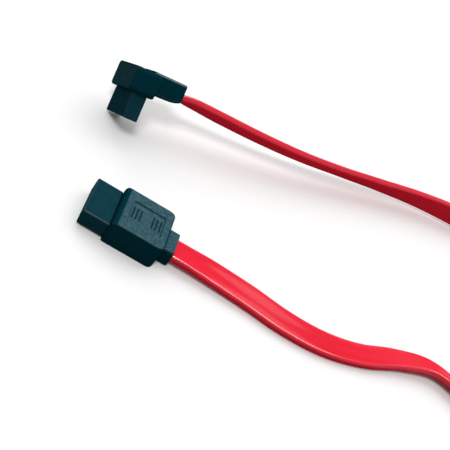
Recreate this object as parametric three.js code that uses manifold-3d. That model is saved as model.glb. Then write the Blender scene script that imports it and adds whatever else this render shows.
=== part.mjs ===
// Flat SATA data cable with one straight plug and one right-angle plug, in millimetres.
// X runs from the straight plug's nose towards its cable, Y across the plug, Z up from the table.
// The origin is the middle of the straight grip's underside.
import * as THREE from 'three';
import * as BufferGeometryUtils from 'three/addons/utils/BufferGeometryUtils.js';
import Module from 'manifold-3d';

const wasm = await Module();
wasm.setup();

// Driving dimensions of the nose, the same moulding on both plugs
const noseLength = 7.2;
const noseWidth = 14.4;
const noseThickness = 4.5;
const noseEdgeBevel = 0.2;
const noseEdgeRadius = 0.35;
const tailLength = 2.6;
const tailWidth = 12.4;
const tailThickness = 3.4;

// Driving dimensions of the L-shaped slot in the nose
const slotWidth = 10.5;
const slotThickness = 1.4;
const slotDepth = 5.6;
const keyWidth = 1.3;
const keyDrop = 1;
const slotLeadIn = 0.3;

// Driving dimensions of the contacts
const contactCount = 7;
const contactPitch = 1.27;
const contactWidth = 0.5;
const contactStock = 0.2;
const contactRise = 0.25;
const contactBowRun = 0.7;
const contactTipSetback = 1.4;
const contactTailReach = 1.9;
const contactClearance = 0.2;
const channelDepth = 0.7;
const channelLip = 0.8;

// Driving dimensions of the flat cable and the wires inside it
const jacketWidth = 7.6;
const jacketThickness = 2.1;
const jacketCornerRadius = 0.65;
const jacketInset = 2.6;
const wirePitch = 1.1;
const coreDiameter = 0.8;
const drainDiameter = 0.45;

// Driving dimensions of the straight grip
const gripLength = 14.4;
const gripWidth = 15.8;
const gripThickness = 7.1;
const gripFrontRadius = 0.6;
const gripRearRadius = 1.7;
const gripEdgeBevel = 0.35;
const gripBrowRadius = 1.3;
const noseLift = 0.7;
const reliefLength = 3.3;
const reliefWidth = 8.8;
const reliefThickness = 4.7;
const reliefLift = 0.3;
const reliefCornerRadius = 0.8;

// Driving dimensions of the recessed panel on top of the straight grip
const panelLength = 9.4;
const panelWidth = 8.2;
const panelDepth = 0.35;
const panelCornerRadius = 0.5;
const panelOffset = 0.5;
const markLength = 4.4;
const markWidth = 0.5;
const markPitch = 1.05;
const markCount = 3;
const markSpread = 5.6;
const markHeight = 0.3;

// Driving dimensions of the right-angle grip
const angledFrontOverhang = 1.6;
const angledRearOverhang = 1.6;
const angledBlockHeight = 7;
const angledCornerRadius = 1.2;
const angledEdgeBevel = 0.4;
const neckReach = 15.1;
const neckWidth = 9.6;
const neckTop = 7.6;
const neckUnderside = 1.5;
const neckEndRise = 0.9;
const neckCurveLength = 3.6;
const neckEdgeRadius = 0.8;
const neckEndBevel = 0.3;
const angledCableHeight = 4;

// How the right-angle plug leans where the stiff cable holds it
const angledPlugX = -19.2;
const angledPlugY = 41.1;
const angledHeading = THREE.MathUtils.degToRad(17.8);
const angledDip = THREE.MathUtils.degToRad(3.1);
const angledRoll = THREE.MathUtils.degToRad(-34.2);

// Clearances
const seatGap = 0.15;
const wireGap = 0.15;
const jointGap = 0.3;
const tableGap = 0.05;
const rearWall = 1.2;
const cutOverrun = 1;
const mergeOverlap = 1;

// Facets on small round corners, as segments for each quarter turn
const cornerSegments = 2;

const colours = {
  nose: 0x1f3038,
  grip: 0x2a3d46,
  contact: 0xd8ac4c,
  core: 0xe9e6dc,
  drain: 0xc4c6c8,
  jacket: 0xd9182f,
};

// A closed three.js geometry as a solid that can be joined and cut
function toSolid(geometry) {
  const bare = geometry.clone();
  bare.deleteAttribute('normal');
  bare.deleteAttribute('uv');
  const merged = BufferGeometryUtils.mergeVertices(bare, 1e-5);
  return new wasm.Manifold(new wasm.Mesh({
    numProp: 3,
    vertProperties: new Float32Array(merged.attributes.position.array),
    triVerts: new Uint32Array(merged.index.array),
  }));
}

// A solid back as a three.js geometry
function toGeometry(solid) {
  const mesh = solid.getMesh();
  const geometry = new THREE.BufferGeometry();
  geometry.setAttribute('position', new THREE.BufferAttribute(mesh.vertProperties, 3));
  geometry.setIndex(new THREE.BufferAttribute(mesh.triVerts, 1));
  geometry.computeVertexNormals();
  return geometry;
}

// A box between two corners
function boxBetween(low, high) {
  const size = high.map((value, i) => value - low[i]);
  const geometry = new THREE.BoxGeometry(...size);
  geometry.translate(...low.map((value, i) => value + size[i] / 2));
  return geometry;
}

// A rectangle centred on a point, with one radius on its left corners and one on its right corners
function roundedRectangle(width, height, leftRadius, rightRadius = leftRadius, x = 0, y = 0) {
  const left = x - width / 2;
  const right = x + width / 2;
  const bottom = y - height / 2;
  const top = y + height / 2;
  const quarter = Math.PI / 2;
  const shape = new THREE.Shape();
  shape.absarc(left + leftRadius, bottom + leftRadius, leftRadius, 2 * quarter, 3 * quarter);
  shape.absarc(right - rightRadius, bottom + rightRadius, rightRadius, 3 * quarter, 4 * quarter);
  shape.absarc(right - rightRadius, top - rightRadius, rightRadius, 0, quarter);
  shape.absarc(left + leftRadius, top - leftRadius, leftRadius, quarter, 2 * quarter);
  return shape;
}

// A shape pushed along its own Z by a length, with bevelled ends that stay inside that length
function extrude(shape, length, bevel = 0, bevelSegments = 1) {
  const geometry = new THREE.ExtrudeGeometry(shape, {
    depth: length - 2 * bevel,
    bevelEnabled: bevel > 0,
    bevelThickness: bevel,
    bevelSize: bevel,
    bevelOffset: -bevel,
    bevelSegments,
    curveSegments: cornerSegments,
  });
  geometry.translate(0, 0, bevel);
  return geometry;
}

// Turns a drawing in Y and Z, pushed along X, into place
function drawnAcross(geometry, x) {
  const turn = new THREE.Matrix4().makeBasis(
    new THREE.Vector3(0, 1, 0), new THREE.Vector3(0, 0, 1), new THREE.Vector3(1, 0, 0));
  geometry.applyMatrix4(turn);
  geometry.translate(x, 0, 0);
  return geometry;
}

// Turns a side view in X and Z, pushed across Y by a width, into place around a middle Y
function drawnFromTheSide(geometry, width, middle = 0) {
  const turn = new THREE.Matrix4().makeBasis(
    new THREE.Vector3(1, 0, 0), new THREE.Vector3(0, 0, 1), new THREE.Vector3(0, -1, 0));
  geometry.applyMatrix4(turn);
  geometry.translate(0, middle + width / 2, 0);
  return geometry;
}

function piece(name, geometry, colour, roughness, metalness = 0) {
  const material = new THREE.MeshStandardMaterial({ color: colour, roughness, metalness });
  const mesh = new THREE.Mesh(geometry, material);
  mesh.name = name;
  return mesh;
}

// Sizes that follow from the driving dimensions, in the nose's own frame.
// There the nose points along -X and ends at X = 0, and Z = 0 is the middle of its thickness.
const contactRows = Array.from(
  { length: contactCount }, (_, i) => (i - (contactCount - 1) / 2) * contactPitch);
const slotFloor = -slotThickness / 2;
const channelFloor = slotFloor - channelDepth;
const channelWidth = contactWidth + 2 * contactClearance;
const contactLevel = channelFloor + contactClearance + contactStock / 2;

// The L of the slot, drawn in Y and Z
function slotOutline() {
  const shape = new THREE.Shape();
  shape.moveTo(-slotWidth / 2, slotFloor);
  shape.lineTo(slotWidth / 2, slotFloor);
  shape.lineTo(slotWidth / 2, slotThickness / 2 + keyDrop);
  shape.lineTo(slotWidth / 2 - keyWidth, slotThickness / 2 + keyDrop);
  shape.lineTo(slotWidth / 2 - keyWidth, slotThickness / 2);
  shape.lineTo(-slotWidth / 2, slotThickness / 2);
  shape.closePath();
  return shape;
}

// The nose with its tail, L-shaped slot and one open channel for each contact
function noseHousing() {
  const section = roundedRectangle(noseWidth, noseThickness, noseEdgeRadius);
  const nose = drawnAcross(extrude(section, noseLength, noseEdgeBevel), -noseLength);
  const tail = boxBetween(
    [-mergeOverlap, -tailWidth / 2, -tailThickness / 2], [tailLength, tailWidth / 2, tailThickness / 2]);
  let solid = toSolid(nose).add(toSolid(tail));
  const slot = drawnAcross(extrude(slotOutline(), slotDepth + cutOverrun), -noseLength - cutOverrun);
  solid = solid.subtract(toSolid(slot));
  const mouth = new THREE.ExtrudeGeometry(slotOutline(), {
    depth: cutOverrun, bevelThickness: slotLeadIn, bevelSize: slotLeadIn, bevelSegments: 1,
  });
  solid = solid.subtract(toSolid(drawnAcross(mouth, -noseLength - cutOverrun)));
  for (const row of contactRows) {
    const channel = boxBetween(
      [-noseLength + channelLip, row - channelWidth / 2, channelFloor],
      [tailLength + cutOverrun, row + channelWidth / 2, slotFloor + contactStock]);
    solid = solid.subtract(toSolid(channel));
  }
  return toGeometry(solid);
}

// The outline of a strip of even thickness along a bent centre line of [x, z] points
function stripOutline(points, thickness) {
  const line = points.map(([x, z]) => new THREE.Vector2(x, z));
  const legs = line.slice(1).map((point, i) => point.clone().sub(line[i]).normalize());
  const sides = line.map((_, i) => {
    const leg = legs[Math.min(i, legs.length - 1)];
    const along = leg.clone().add(legs[Math.max(i - 1, 0)]).normalize();
    return new THREE.Vector2(-along.y, along.x).multiplyScalar(thickness / 2 / along.dot(leg));
  });
  const upper = line.map((point, i) => point.clone().add(sides[i]));
  const lower = line.map((point, i) => point.clone().sub(sides[i]));
  return new THREE.Shape([...lower, ...upper.reverse()]);
}

// A sprung contact: it bows up into the slot near its tip and ends in a tail for its wire
function contactGeometry(row, tailPoints) {
  const tip = -noseLength + contactTipSetback;
  const touch = slotFloor + contactRise - contactStock / 2;
  const spring = [
    [tip, contactLevel + contactStock],
    [tip + contactBowRun, touch],
    [tip + 2 * contactBowRun, touch],
    [tip + 5 * contactBowRun, contactLevel],
  ];
  const outline = stripOutline([...spring, ...tailPoints], contactStock);
  return drawnFromTheSide(extrude(outline, contactWidth), contactWidth, row);
}

// A round wire through points, as an eight-sided tube with square ends
function wireGeometry(points, diameter) {
  const section = new THREE.Shape();
  section.absarc(0, 0, diameter / 2, 0, 2 * Math.PI);
  const line = new THREE.CatmullRomCurve3(points, false, 'centripetal');
  return new THREE.ExtrudeGeometry(section, { steps: 10, extrudePath: line, curveSegments: 4 });
}

// Which rows hold a signal core and which a drain wire, counted from 1
const coreRows = [2, 3, 5, 6];
const drainRows = [1, 4, 7];

// The seven wires of one plug, from its contacts' tails to the end of the jacket.
// The tails' top is at tailTop and the jacket's middle at jacketLevel, both in the plug's frame.
function addWires(group, prefix, tailStart, tailTop, jacketStart, jacketLevel) {
  const middle = (contactCount + 1) / 2;
  const wires = [
    ...coreRows.map((row, i) => ({ name: `${prefix}_core_${i + 1}`, row, diameter: coreDiameter })),
    ...drainRows.map((row, i) => ({ name: `${prefix}_drain_${i + 1}`, row, diameter: drainDiameter })),
  ];
  for (const { name, row, diameter } of wires) {
    const onTail = tailTop + wireGap + diameter / 2;
    const near = (row - middle) * contactPitch;
    const far = (row - middle) * wirePitch;
    const end = jacketStart - jointGap;
    const bend = (end - tailStart) / 4;
    const route = [
      new THREE.Vector3(tailStart, near, onTail),
      new THREE.Vector3(tailStart + bend, near, onTail),
      new THREE.Vector3(end - bend, far, jacketLevel),
      new THREE.Vector3(end, far, jacketLevel),
    ];
    const isCore = diameter === coreDiameter;
    group.add(piece(name, wireGeometry(route, diameter),
      isCore ? colours.core : colours.drain, isCore ? 0.5 : 0.3, isCore ? 0 : 1));
  }
}

// The jacket's section, and the tunnel that it enters a grip through
function jacketTunnel(from, to, level) {
  const shape = roundedRectangle(
    jacketWidth + 2 * seatGap, jacketThickness + 2 * seatGap,
    jacketCornerRadius, jacketCornerRadius, 0, level);
  return drawnAcross(extrude(shape, to - from), from);
}

// Straight plug, in the part's own frame
const gripFront = -gripLength / 2;
const gripRear = gripLength / 2;
const straightExit = gripRear + reliefLength;
const straightNoseLevel = noseLift + noseThickness / 2;
const straightCableLevel = reliefLift + reliefThickness / 2;
const straightTailStart = gripFront + tailLength + jointGap;

// The plain bars that stand in the recessed panel, in two groups
function panelMarks() {
  const bars = [];
  for (const side of [-1, 1]) {
    for (let i = 0; i < markCount; i += 1) {
      const x = panelOffset + side * markSpread / 2 + (i - (markCount - 1) / 2) * markPitch;
      bars.push(boxBetween(
        [x - markWidth / 2, -markLength / 2, gripThickness - panelDepth - mergeOverlap],
        [x + markWidth / 2, markLength / 2, gripThickness - panelDepth + markHeight]));
    }
  }
  return bars;
}

// What rounds the top edge of the grip's front, across its whole width
function browCut() {
  const shape = new THREE.Shape();
  const centreX = gripFront + gripBrowRadius;
  const centreZ = gripThickness - gripBrowRadius;
  shape.moveTo(gripFront - cutOverrun, centreZ);
  shape.absarc(centreX, centreZ, gripBrowRadius, Math.PI, Math.PI / 2, true);
  shape.lineTo(centreX, gripThickness + cutOverrun);
  shape.lineTo(gripFront - cutOverrun, gripThickness + cutOverrun);
  const width = gripWidth + 2 * cutOverrun;
  return drawnFromTheSide(extrude(shape, width), width);
}

function straightGrip() {
  const plan = roundedRectangle(gripLength, gripWidth, gripFrontRadius, gripRearRadius);
  const block = extrude(plan, gripThickness, gripEdgeBevel);
  const reliefShape = roundedRectangle(
    reliefWidth, reliefThickness, reliefCornerRadius, reliefCornerRadius, 0, straightCableLevel);
  const relief = drawnAcross(
    extrude(reliefShape, reliefLength + mergeOverlap, gripEdgeBevel), gripRear - mergeOverlap);
  let solid = toSolid(block).subtract(toSolid(browCut())).add(toSolid(relief));
  const panel = extrude(
    roundedRectangle(panelLength, panelWidth, panelCornerRadius, panelCornerRadius, panelOffset, 0),
    panelDepth + cutOverrun);
  panel.translate(0, 0, gripThickness - panelDepth);
  solid = solid.subtract(toSolid(panel));
  for (const bar of panelMarks()) {
    solid = solid.add(toSolid(bar));
  }
  const pocketEnd = gripFront + tailLength + seatGap;
  const pocket = boxBetween(
    [gripFront - cutOverrun, -tailWidth / 2 - seatGap, straightNoseLevel - tailThickness / 2 - seatGap],
    [pocketEnd, tailWidth / 2 + seatGap, straightNoseLevel + tailThickness / 2 + seatGap]);
  const wireSpaceHalf = contactRows[contactCount - 1] + coreDiameter / 2 + 2 * wireGap;
  const wireSpaceEnd = gripRear - rearWall;
  const wireSpace = boxBetween(
    [pocketEnd - seatGap, -wireSpaceHalf, straightNoseLevel + contactLevel - contactStock / 2 - wireGap],
    [wireSpaceEnd, wireSpaceHalf, straightCableLevel + jacketThickness / 2]);
  const tunnel = jacketTunnel(wireSpaceEnd - seatGap, straightExit + cutOverrun, straightCableLevel);
  solid = solid.subtract(toSolid(pocket)).subtract(toSolid(wireSpace)).subtract(toSolid(tunnel));
  return toGeometry(solid);
}

function straightPlug() {
  const plug = new THREE.Group();
  plug.add(piece('straight_overmould', straightGrip(), colours.grip, 0.55));
  const front = new THREE.Group();
  front.position.set(gripFront, 0, straightNoseLevel);
  front.add(piece('straight_housing', noseHousing(), colours.nose, 0.4));
  const tail = [[tailLength + jointGap + contactTailReach, contactLevel]];
  contactRows.forEach((row, i) => {
    front.add(piece(`straight_contact_${i + 1}`, contactGeometry(row, tail), colours.contact, 0.25, 1));
  });
  plug.add(front);
  const tailTop = straightNoseLevel + contactLevel + contactStock / 2;
  addWires(plug, 'straight', straightTailStart, tailTop, straightExit - jacketInset, straightCableLevel);
  return plug;
}

// Right-angle plug, in a frame of its own: the nose points down from Z = 0 and the cable leaves along +X
const angledFront = -angledFrontOverhang;
const angledRear = noseThickness + angledRearOverhang;
const bendLevel = tailLength + jointGap + contactStock;
const angledNoseMiddle = noseThickness / 2;
const bentTailX = angledNoseMiddle - contactLevel;

// The neck, flat on top, with an underside that rises in a curve towards the cable
function angledNeck() {
  const start = angledRear - mergeOverlap;
  const height = neckTop - neckUnderside;
  const section = roundedRectangle(
    neckWidth, height, neckEdgeRadius, neckEdgeRadius, 0, neckUnderside + height / 2);
  const bar = drawnAcross(extrude(section, neckReach - start, neckEndBevel), start);
  const sideView = new THREE.Shape();
  sideView.moveTo(start - cutOverrun, neckUnderside);
  sideView.lineTo(neckReach - neckCurveLength, neckUnderside);
  sideView.quadraticCurveTo(neckReach, neckUnderside, neckReach, neckUnderside + neckEndRise);
  sideView.lineTo(neckReach + cutOverrun, neckUnderside + neckEndRise);
  sideView.lineTo(neckReach + cutOverrun, neckTop + cutOverrun);
  sideView.lineTo(start - cutOverrun, neckTop + cutOverrun);
  sideView.closePath();
  const limit = new THREE.ExtrudeGeometry(sideView, {
    depth: neckWidth + cutOverrun, bevelEnabled: false, curveSegments: 5,
  });
  return toSolid(bar).intersect(toSolid(drawnFromTheSide(limit, neckWidth + cutOverrun)));
}

function angledGrip() {
  const block = drawnAcross(
    extrude(
      roundedRectangle(gripWidth, angledBlockHeight, angledCornerRadius, angledCornerRadius, 0,
        angledBlockHeight / 2),
      angledRear - angledFront, angledEdgeBevel),
    angledFront);
  let solid = toSolid(block).add(angledNeck());
  const pocketTop = tailLength + seatGap;
  const pocket = boxBetween(
    [angledNoseMiddle - tailThickness / 2 - seatGap, -tailWidth / 2 - seatGap, -cutOverrun],
    [angledNoseMiddle + tailThickness / 2 + seatGap, tailWidth / 2 + seatGap, pocketTop]);
  const wireSpaceHalf = contactRows[contactCount - 1] + coreDiameter / 2;
  const wireSpaceEnd = neckReach - jacketInset - jointGap;
  const wireSpaceTop = bendLevel + contactStock / 2 + 2 * wireGap + coreDiameter + jointGap;
  const wireSpace = boxBetween(
    [bentTailX - contactStock / 2 - wireGap, -wireSpaceHalf, pocketTop - seatGap],
    [wireSpaceEnd, wireSpaceHalf, Math.max(wireSpaceTop, angledCableHeight + coreDiameter / 2 + jointGap)]);
  const tunnel = jacketTunnel(wireSpaceEnd - seatGap, neckReach + cutOverrun, angledCableHeight);
  solid = solid.subtract(toSolid(pocket)).subtract(toSolid(wireSpace)).subtract(toSolid(tunnel));
  return toGeometry(solid);
}

function angledPlug() {
  const plug = new THREE.Group();
  plug.add(piece('angled_overmould', angledGrip(), colours.grip, 0.5));
  const front = new THREE.Group();
  front.position.set(angledNoseMiddle, 0, 0);
  front.rotation.y = -Math.PI / 2;
  front.add(piece('angled_housing', noseHousing(), colours.nose, 0.4));
  const tail = [[bendLevel, contactLevel], [bendLevel, contactLevel - contactTailReach]];
  contactRows.forEach((row, i) => {
    front.add(piece(`angled_contact_${i + 1}`, contactGeometry(row, tail), colours.contact, 0.25, 1));
  });
  plug.add(front);
  addWires(plug, 'angled', bentTailX + contactStock, bendLevel + contactStock / 2,
    neckReach - jacketInset, angledCableHeight);
  return plug;
}

// The right-angle plug leans on the far corner of its nose
const angledPose = new THREE.Euler(angledRoll, angledDip, angledHeading, 'ZYX');
const noseTipCorners = [0, noseThickness].flatMap((x) => [-1, 1].map(
  (side) => new THREE.Vector3(x, side * noseWidth / 2, -noseLength)));
const angledRestHeight = -Math.min(...noseTipCorners.map((corner) => corner.applyEuler(angledPose).z));
const angledPlugPlace = new THREE.Vector3(angledPlugX, angledPlugY, angledRestHeight);

// A point of the right-angle plug's cable line, in the part's own frame
function onAngledCableLine(x) {
  return new THREE.Vector3(x, 0, angledCableHeight).applyEuler(angledPose).add(angledPlugPlace);
}

// Height of the cable's middle when it rests on the table at a roll in degrees
function restingLevel(roll) {
  const angle = THREE.MathUtils.degToRad(roll);
  const across = (jacketWidth / 2 - jacketCornerRadius) * Math.abs(Math.sin(angle));
  const through = (jacketThickness / 2 - jacketCornerRadius) * Math.abs(Math.cos(angle));
  return across + through + jacketCornerRadius + tableGap;
}

// The cable's route from plug to plug: [x, y, z, roll], with the roll in degrees about its own line.
// The stretch at the straight plug lies nearly flat and swings to and fro on the table.
const straightRun = [
  [21.9, 0, 2.45, 7],
  [33.6, -0.5, 2.05, 10],
  [45.2, -1.7, 1.8, 9],
  [56.9, -0.9, 1.6, 6],
  [68.6, 3, 1.45, -2],
  [80.3, 9.2, 1.85, -11],
  [91.9, 12.9, 2.25, -19],
];
// The loop stands on edge on the table
const loopCentreX = 135;
const loopCentreY = 45.4;
const loopRadius = 48.1;
const loopStartAngle = 229.2;
const loopEndAngle = 458.7;
const loopSteps = 15;
const loopRolls = [-24, -36, -50, -65, -79, -88];
const onEdgeRoll = -90;
// The stretch at the right-angle plug rises from the table and rolls back
const angledRun = [
  [95.6, 88.1, 4.8, -98],
  [81.2, 84.1, 5.1, -113],
  [66.8, 77.8, 5.8, -125],
  [52.3, 70.7, 6.7, -132],
  [37.9, 63.6, 8, -133],
  [23.5, 57.8, 9.45, -132.5],
  [9.1, 52.8, 11.1, -132.5],
];
const leadOut = 4.5;
const angledLeadOutRoll = -137;
const angledEndRoll = -180 - THREE.MathUtils.radToDeg(angledRoll);

function loopPoints() {
  const points = [];
  for (let i = 0; i <= loopSteps; i += 1) {
    const angle = THREE.MathUtils.degToRad(
      loopStartAngle + (loopEndAngle - loopStartAngle) * i / loopSteps);
    const roll = i < loopRolls.length ? loopRolls[i] : onEdgeRoll;
    points.push([
      loopCentreX + loopRadius * Math.cos(angle),
      loopCentreY + loopRadius * Math.sin(angle),
      restingLevel(roll),
      roll,
    ]);
  }
  return points;
}

const routeTable = [
  [straightExit - jacketInset, 0, straightCableLevel, 0],
  [straightExit, 0, straightCableLevel, 0],
  [straightExit + leadOut, 0, straightCableLevel, 1],
  ...straightRun,
  ...loopPoints(),
  ...angledRun,
  [...onAngledCableLine(neckReach + leadOut).toArray(), angledLeadOutRoll],
  [...onAngledCableLine(neckReach).toArray(), angledEndRoll],
  [...onAngledCableLine(neckReach - jacketInset).toArray(), angledEndRoll],
];
const route = new THREE.CatmullRomCurve3(
  routeTable.map(([x, y, z]) => new THREE.Vector3(x, y, z)), false, 'centripetal');
const divisionsPerPoint = 20;
route.arcLengthDivisions = (routeTable.length - 1) * divisionsPerPoint;
const routeLengths = route.getLengths();
const lengthAtPoint = (i) => routeLengths[i * divisionsPerPoint];
const routeLength = lengthAtPoint(routeTable.length - 1);

// One stretch of the route, between two lengths, which turns the section by the cable's roll
class RolledStretch extends THREE.Curve {
  constructor(from, to) {
    super();
    this.from = from;
    this.to = to;
  }

  share(t) {
    return (this.from + (this.to - this.from) * t) / routeLength;
  }

  getPoint(t, target = new THREE.Vector3()) {
    return route.getPointAt(Math.min(this.share(t), 1), target);
  }

  computeFrenetFrames(segments) {
    const frames = { tangents: [], normals: [], binormals: [] };
    const up = new THREE.Vector3(0, 0, 1);
    for (let i = 0; i <= segments; i += 1) {
      const t = route.getUtoTmapping(Math.min(this.share(i / segments), 1));
      const tangent = route.getTangent(t);
      const left = up.clone().cross(tangent).normalize();
      const lift = tangent.clone().cross(left);
      const place = Math.min(t * (routeTable.length - 1), routeTable.length - 1.001);
      const before = Math.floor(place);
      const roll = THREE.MathUtils.degToRad(THREE.MathUtils.lerp(
        routeTable[before][3], routeTable[before + 1][3], place - before));
      const across = left.multiplyScalar(Math.cos(roll)).addScaledVector(lift, Math.sin(roll));
      frames.tangents.push(tangent);
      frames.normals.push(across);
      frames.binormals.push(tangent.clone().cross(across));
    }
    return frames;
  }
}

const stretchStep = 5.6;

function jacketStretch(name, from, to) {
  const section = roundedRectangle(jacketWidth, jacketThickness, jacketCornerRadius);
  const geometry = new THREE.ExtrudeGeometry(section, {
    steps: Math.ceil((to - from) / stretchStep),
    extrudePath: new RolledStretch(from, to),
    curveSegments: 1,
  });
  return piece(name, geometry, colours.jacket, 0.35);
}

const loopStart = lengthAtPoint(3 + straightRun.length);
const loopEnd = lengthAtPoint(3 + straightRun.length + loopSteps);

const cable = new THREE.Group();
cable.add(straightPlug());
const leaningPlug = angledPlug();
leaningPlug.position.copy(angledPlugPlace);
leaningPlug.rotation.copy(angledPose);
cable.add(leaningPlug);
cable.add(jacketStretch('cable_straight_run', 0, loopStart - jointGap));
cable.add(jacketStretch('cable_loop', loopStart, loopEnd));
cable.add(jacketStretch('cable_angled_run', loopEnd + jointGap, routeLength));

export default cable;
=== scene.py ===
# %% [markdown]
# # A flat data cable with a straight plug and a right-angle plug
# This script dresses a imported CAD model: a red flat cable lies in one open loop on a white table, with a
# straight plug on one end and a right-angle plug on the other. Each step says what the piece is on the real
# object, how it could be made, and why this way was chosen.

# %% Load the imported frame
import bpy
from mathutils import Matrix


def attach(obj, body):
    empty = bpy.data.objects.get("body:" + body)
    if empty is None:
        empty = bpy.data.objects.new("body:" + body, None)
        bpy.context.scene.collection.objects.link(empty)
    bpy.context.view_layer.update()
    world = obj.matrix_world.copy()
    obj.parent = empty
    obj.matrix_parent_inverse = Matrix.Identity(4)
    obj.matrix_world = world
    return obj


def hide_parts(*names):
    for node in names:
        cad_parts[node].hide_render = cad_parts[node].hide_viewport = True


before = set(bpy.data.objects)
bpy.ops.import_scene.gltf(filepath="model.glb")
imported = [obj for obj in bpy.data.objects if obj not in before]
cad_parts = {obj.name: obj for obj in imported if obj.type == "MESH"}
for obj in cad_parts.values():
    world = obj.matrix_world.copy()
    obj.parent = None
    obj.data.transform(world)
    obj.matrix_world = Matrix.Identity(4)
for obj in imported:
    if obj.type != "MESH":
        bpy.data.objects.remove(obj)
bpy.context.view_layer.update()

# %% Imports and units
import math

import bmesh
import bpy
import numpy as np
from mathutils import Matrix, Vector

# Lengths are in millimetres until a mesh is made, and MM turns them into metres.
MM = 0.001
ROUNDING_ERROR = 1e-6

# %% [markdown]
# ## The camera
# The photograph is taken from low in front of the straight plug with the camera rolled well to one side, so
# the cable seems to run downhill. A camera could be turned with three angles, but the roll is easier to
# follow as a frame of three directions: right, up, and back from the target to the camera. The lens and the
# distance give the photograph's perspective.

# %% Camera
VIEW_AZIMUTH = math.radians(-13.23)
VIEW_ELEVATION = math.radians(35.0)
VIEW_ROLL = math.radians(38.35)
VIEW_DISTANCE = 300 * MM
VIEW_TARGET = Vector((22.69, 24.46, 0)) * MM
SENSOR_WIDTH = 36.0
LENS = 88.02


def make_camera():
    """Right and up start level and square to the line of sight, and then both are rolled about it."""
    back = Vector((math.sin(VIEW_AZIMUTH) * math.cos(VIEW_ELEVATION),
                   -math.cos(VIEW_AZIMUTH) * math.cos(VIEW_ELEVATION),
                   math.sin(VIEW_ELEVATION)))
    level_right = Vector((0, 0, 1)).cross(back).normalized()
    level_up = back.cross(level_right)
    right = math.cos(VIEW_ROLL) * level_right + math.sin(VIEW_ROLL) * level_up
    up = back.cross(right)
    data = bpy.data.cameras.new("product_camera")
    data.sensor_width = SENSOR_WIDTH
    data.lens = LENS
    data.clip_start = 10 * MM
    camera = bpy.data.objects.new("product_camera", data)
    camera.matrix_world = Matrix.Translation(VIEW_TARGET + back * VIEW_DISTANCE) @ Matrix(
        (right, up, back)).transposed().to_4x4()
    bpy.context.scene.collection.objects.link(camera)
    bpy.context.scene.camera = camera
    return camera


camera = make_camera()
print("camera at", [round(v, 4) for v in camera.matrix_world.translation])

# %% [markdown]
# ## Where the two plugs are
# The straight plug lies flat, and its own directions are the model's. The right-angle plug is held up by
# the stiff cable and leans on one corner of its nose. Both plugs are drawn in simple frames of their own,
# and one matrix puts the leaning plug in place. Its height follows from its nose: the lowest corner touches
# the table.

# %% Plug sizes and the leaning plug's place
NOSE_LENGTH, NOSE_WIDTH, NOSE_THICKNESS = 7.2, 14.4, 4.5
GRIP_LENGTH, GRIP_WIDTH, GRIP_THICKNESS = 14.4, 15.8, 7.1
RELIEF_LENGTH = 3.3
JACKET_INSET = 2.6
STRAIGHT_EXIT = GRIP_LENGTH / 2 + RELIEF_LENGTH
STRAIGHT_CABLE_LEVEL = 2.65
NECK_REACH = 15.1
ANGLED_CABLE_LEVEL = 4.0
ANGLED_ROLL, ANGLED_DIP, ANGLED_HEADING = -34.2, 3.1, 17.8
ANGLED_PLACE = (-19.2, 41.1)


def leaning_plug_matrix():
    """Rolled about X, dipped about Y and headed about Z, then lifted until the lowest corner is at 0."""
    turn = (Matrix.Rotation(math.radians(ANGLED_HEADING), 4, "Z")
            @ Matrix.Rotation(math.radians(ANGLED_DIP), 4, "Y")
            @ Matrix.Rotation(math.radians(ANGLED_ROLL), 4, "X"))
    corners = [turn @ Vector((x, side * NOSE_WIDTH / 2, -NOSE_LENGTH))
               for x in (0, NOSE_THICKNESS) for side in (-1, 1)]
    lift = -min(corner.z for corner in corners)
    return np.array(Matrix.Translation((*ANGLED_PLACE, lift)) @ turn)


LEANING = leaning_plug_matrix()
print("leaning plug's base plane is", round(LEANING[2, 3], 2), "mm up")


def placed(points, matrix=None):
    """Points in millimetres of a plug's frame as points in metres of the model's frame."""
    points = np.asarray(points, dtype=float)
    if matrix is not None:
        points = points @ matrix[:3, :3].T + matrix[:3, 3]
    return points * MM


# %% [markdown]
# ## The cable's route
# The real cable is about 0.44 m of stiff flat strip. It leaves the straight plug lying flat, swings to and
# fro along the table, turns on edge, and comes back in one open loop to the right-angle plug, rolling back
# as it rises. The route could be a Bezier curve with tilt, but the CAD model uses a centripetal Catmull-Rom
# curve through listed points, so the same curve is worked out here. Each point has a roll of the strip
# about its own line, and the loop's points come from a circle.

# %% Route points
JACKET_WIDTH, JACKET_THICKNESS, JACKET_CORNER = 7.6, 2.1, 0.65
TABLE_GAP = 0.05
LEAD_OUT = 4.5
STRAIGHT_RUN = [
    (21.9, 0, 2.45, 7), (33.6, -0.5, 2.05, 10), (45.2, -1.7, 1.8, 9), (56.9, -0.9, 1.6, 6),
    (68.6, 3, 1.45, -2), (80.3, 9.2, 1.85, -11), (91.9, 12.9, 2.25, -19)]
LOOP_CENTRE, LOOP_RADIUS = (135.0, 45.4), 48.1
LOOP_START, LOOP_END, LOOP_STEPS = 229.2, 458.7, 15
LOOP_ROLLS = [-24, -36, -50, -65, -79, -88]
ANGLED_RUN = [
    (95.6, 88.1, 4.8, -98), (81.2, 84.1, 5.1, -113), (66.8, 77.8, 5.8, -125), (52.3, 70.7, 6.7, -132),
    (37.9, 63.6, 8, -133), (23.5, 57.8, 9.45, -132.5), (9.1, 52.8, 11.1, -132.5)]
ANGLED_LEAD_OUT_ROLL = -137


def resting_level(roll):
    """Height of the strip's middle on the table: its half height at this roll, plus a small gap."""
    across = (JACKET_WIDTH / 2 - JACKET_CORNER) * abs(math.sin(math.radians(roll)))
    through = (JACKET_THICKNESS / 2 - JACKET_CORNER) * abs(math.cos(math.radians(roll)))
    return across + through + JACKET_CORNER + TABLE_GAP


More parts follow.
